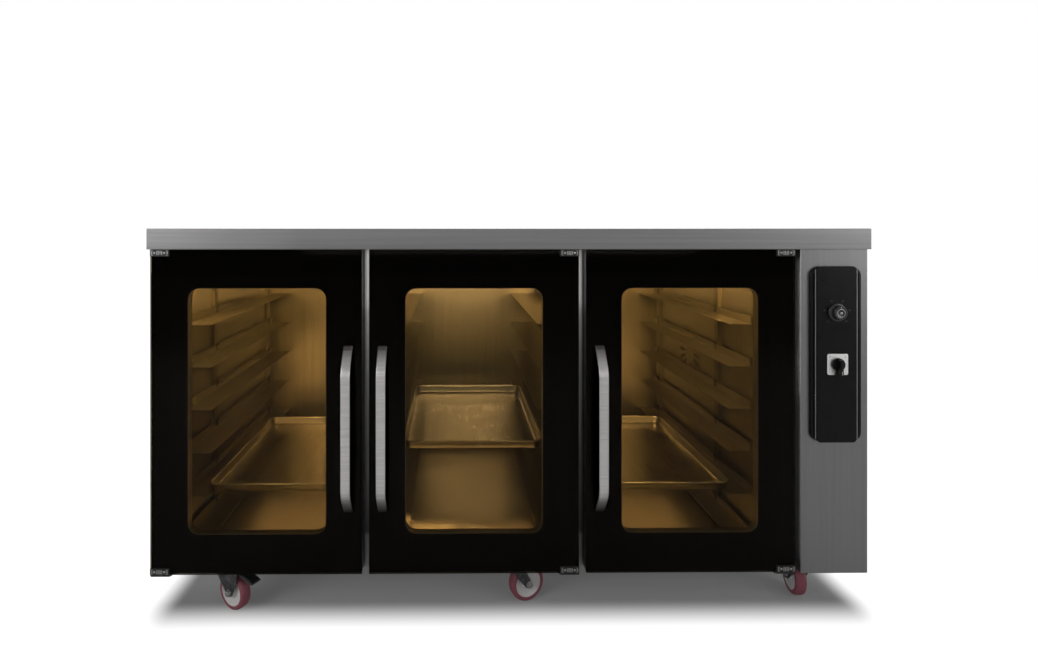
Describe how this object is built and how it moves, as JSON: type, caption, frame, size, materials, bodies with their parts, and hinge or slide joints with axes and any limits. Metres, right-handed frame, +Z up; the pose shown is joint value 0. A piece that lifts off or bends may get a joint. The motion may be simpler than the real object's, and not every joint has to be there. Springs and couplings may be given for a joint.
{
  "type": "proofing cabinet",
  "caption": "Stainless proofing cabinet with black glass doors, tray slides, a control column and swivel casters.",
  "frame": {"origin": "on the floor under the middle of the whole cabinet, door handles included", "axes": "+Z up, +X to the right seen from the front, the doors face -Y"},
  "size_m": [1.9, 0.98, 1.04],
  "materials": {
    "stainless": "brushed",
    "bay_steel": "satin",
    "handle_steel": "satin",
    "black_glass": "gloss",
    "tinted_glass": "gloss",
    "frame_steel": "satin black",
    "seal_rubber": "matte",
    "black_plastic": "fine grain",
    "panel_black": "gloss",
    "grey_plastic": "matte",
    "motor_paint": "satin",
    "switch_silver": "satin",
    "zinc": "zinc plated",
    "red_tread": "satin polyurethane",
    "light_lens": "opal"
  },
  "bodies": {
    "cabinet": {"worktop": "stainless", "side_panel_left": "stainless", "back_panel": "stainless", "front_header": "stainless", "floor_pan": "stainless", "mullion_left": "stainless", "mullion_right": "stainless", "column_cover": "stainless", "ceiling_panel": "bay_steel", "inner_wall_right": "bay_steel", "rack_left": "bay_steel", "rack_mullion_left": "bay_steel", "rack_mullion_right": "bay_steel", "rack_right": "bay_steel", "tray_left": "bay_steel", "tray_middle": "bay_steel", "tray_right": "bay_steel", "fan_guard": "bay_steel", "steam_boiler": "bay_steel", "mains_gland": "black_plastic", "control_panel": "panel_black", "thermostat_body": "grey_plastic", "cam_switch_body": "grey_plastic", "contactor_box": "grey_plastic", "fan_motor": "motor_paint", "cam_switch_plate": "switch_silver", "heating_element": "zinc", "light_bar": "light_lens"},
    "door_left": {"door_left_glass": "black_glass", "door_left_frame": "frame_steel", "door_left_inner_glass": "tinted_glass", "door_left_seal": "seal_rubber", "door_left_handle": "handle_steel"},
    "door_middle": {"door_middle_glass": "black_glass", "door_middle_frame": "frame_steel", "door_middle_inner_glass": "tinted_glass", "door_middle_seal": "seal_rubber", "door_middle_handle": "handle_steel"},
    "door_right": {"door_right_glass": "black_glass", "door_right_frame": "frame_steel", "door_right_inner_glass": "tinted_glass", "door_right_seal": "seal_rubber", "door_right_handle": "handle_steel"},
    "thermostat_knob": {"thermostat_knob": "black_plastic"},
    "cam_handle": {"cam_handle": "black_plastic"},
    "fan_impeller": {"fan_impeller": "zinc"},
    "caster_front_left_fork": {"caster_front_left_fork": "zinc"},
    "caster_front_left_wheel": {"caster_front_left_wheel": "red_tread"},
    "caster_front_left_brake": {"caster_front_left_brake": "zinc"},
    "caster_front_middle_fork": {"caster_front_middle_fork": "zinc"},
    "caster_front_middle_wheel": {"caster_front_middle_wheel": "red_tread"},
    "caster_front_right_fork": {"caster_front_right_fork": "zinc"},
    "caster_front_right_wheel": {"caster_front_right_wheel": "red_tread"},
    "caster_front_right_brake": {"caster_front_right_brake": "zinc"},
    "caster_back_left_fork": {"caster_back_left_fork": "zinc"},
    "caster_back_left_wheel": {"caster_back_left_wheel": "red_tread"},
    "caster_back_middle_fork": {"caster_back_middle_fork": "zinc"},
    "caster_back_middle_wheel": {"caster_back_middle_wheel": "red_tread"},
    "caster_back_right_fork": {"caster_back_right_fork": "zinc"},
    "caster_back_right_wheel": {"caster_back_right_wheel": "red_tread"}
  },
  "joints": [
    {"name": "door_left_hinge", "type": "hinge", "parent": "cabinet", "child": "door_left", "pos_m": [-0.93, -0.423, 0.135], "axis": [0, 0, -1], "range_deg": [0, 105]},
    {"name": "door_middle_hinge", "type": "hinge", "parent": "cabinet", "child": "door_middle", "pos_m": [0.168, -0.423, 0.135], "axis": [0, 0, 1], "range_deg": [0, 105]},
    {"name": "door_right_hinge", "type": "hinge", "parent": "cabinet", "child": "door_right", "pos_m": [0.738, -0.423, 0.135], "axis": [0, 0, 1], "range_deg": [0, 105]},
    {"name": "thermostat_turn", "type": "hinge", "parent": "cabinet", "child": "thermostat_knob", "pos_m": [0.8555, -0.4513, 0.82], "axis": [0, 1, 0], "range_deg": [0, 270]},
    {"name": "cam_switch_turn", "type": "hinge", "parent": "cabinet", "child": "cam_handle", "pos_m": [0.8555, -0.4546, 0.684], "axis": [0, 1, 0], "range_deg": [0, 90]},
    {"name": "fan_spin", "type": "hinge", "parent": "cabinet", "child": "fan_impeller", "pos_m": [0.732, 0.11, 0.6], "axis": [1, 0, 0], "continuous": true},
    {"name": "caster_front_left_swivel", "type": "hinge", "parent": "cabinet", "child": "caster_front_left_fork", "pos_m": [-0.78, -0.345, 0.12], "axis": [0, 0, 1], "continuous": true},
    {"name": "caster_front_left_roll", "type": "hinge", "parent": "caster_front_left_fork", "child": "caster_front_left_wheel", "pos_m": [-0.74947, -0.36408, 0.05], "axis": [0.5299, 0.848, 0], "continuous": true},
    {"name": "caster_front_left_brake_pedal", "type": "hinge", "parent": "caster_front_left_fork", "child": "caster_front_left_brake", "pos_m": [-0.72742, -0.37785, 0.103], "axis": [0.5299, 0.848, 0], "range_deg": [0, 12]},
    {"name": "caster_front_middle_swivel", "type": "hinge", "parent": "cabinet", "child": "caster_front_middle_fork", "pos_m": [0.02, -0.345, 0.12], "axis": [0, 0, 1], "continuous": true},
    {"name": "caster_front_middle_roll", "type": "hinge", "parent": "caster_front_middle_fork", "child": "caster_front_middle_wheel", "pos_m": [0.05338, -0.33151, 0.05], "axis": [-0.3746, 0.9272, 0], "continuous": true},
    {"name": "caster_front_right_swivel", "type": "hinge", "parent": "cabinet", "child": "caster_front_right_fork", "pos_m": [0.82, -0.345, 0.12], "axis": [0, 0, 1], "continuous": true},
    {"name": "caster_front_right_roll", "type": "hinge", "parent": "caster_front_right_fork", "child": "caster_front_right_wheel", "pos_m": [0.82376, -0.3092, 0.05], "axis": [-0.9945, 0.1045, 0], "continuous": true},
    {"name": "caster_front_right_brake_pedal", "type": "hinge", "parent": "caster_front_right_fork", "child": "caster_front_right_brake", "pos_m": [0.82648, -0.28334, 0.103], "axis": [-0.9945, 0.1045, 0], "range_deg": [0, 12]},
    {"name": "caster_back_left_swivel", "type": "hinge", "parent": "cabinet", "child": "caster_back_left_fork", "pos_m": [-0.78, 0.385, 0.12], "axis": [0, 0, 1], "continuous": true},
    {"name": "caster_back_left_roll", "type": "hinge", "parent": "caster_back_left_fork", "child": "caster_back_left_wheel", "pos_m": [-0.76479, 0.41763, 0.05], "axis": [-0.9063, 0.4226, 0], "continuous": true},
    {"name": "caster_back_middle_swivel", "type": "hinge", "parent": "cabinet", "child": "caster_back_middle_fork", "pos_m": [0.02, 0.385, 0.12], "axis": [0, 0, 1], "continuous": true},
    {"name": "caster_back_middle_roll", "type": "hinge", "parent": "caster_back_middle_fork", "child": "caster_back_middle_wheel", "pos_m": [0.01375, 0.42045, 0.05], "axis": [-0.9848, -0.1736, 0], "continuous": true},
    {"name": "caster_back_right_swivel", "type": "hinge", "parent": "cabinet", "child": "caster_back_right_fork", "pos_m": [0.82, 0.385, 0.12], "axis": [0, 0, 1], "continuous": true},
    {"name": "caster_back_right_roll", "type": "hinge", "parent": "caster_back_right_fork", "child": "caster_back_right_wheel", "pos_m": [0.802, 0.41618, 0.05], "axis": [-0.866, -0.5, 0], "continuous": true}
  ]
}
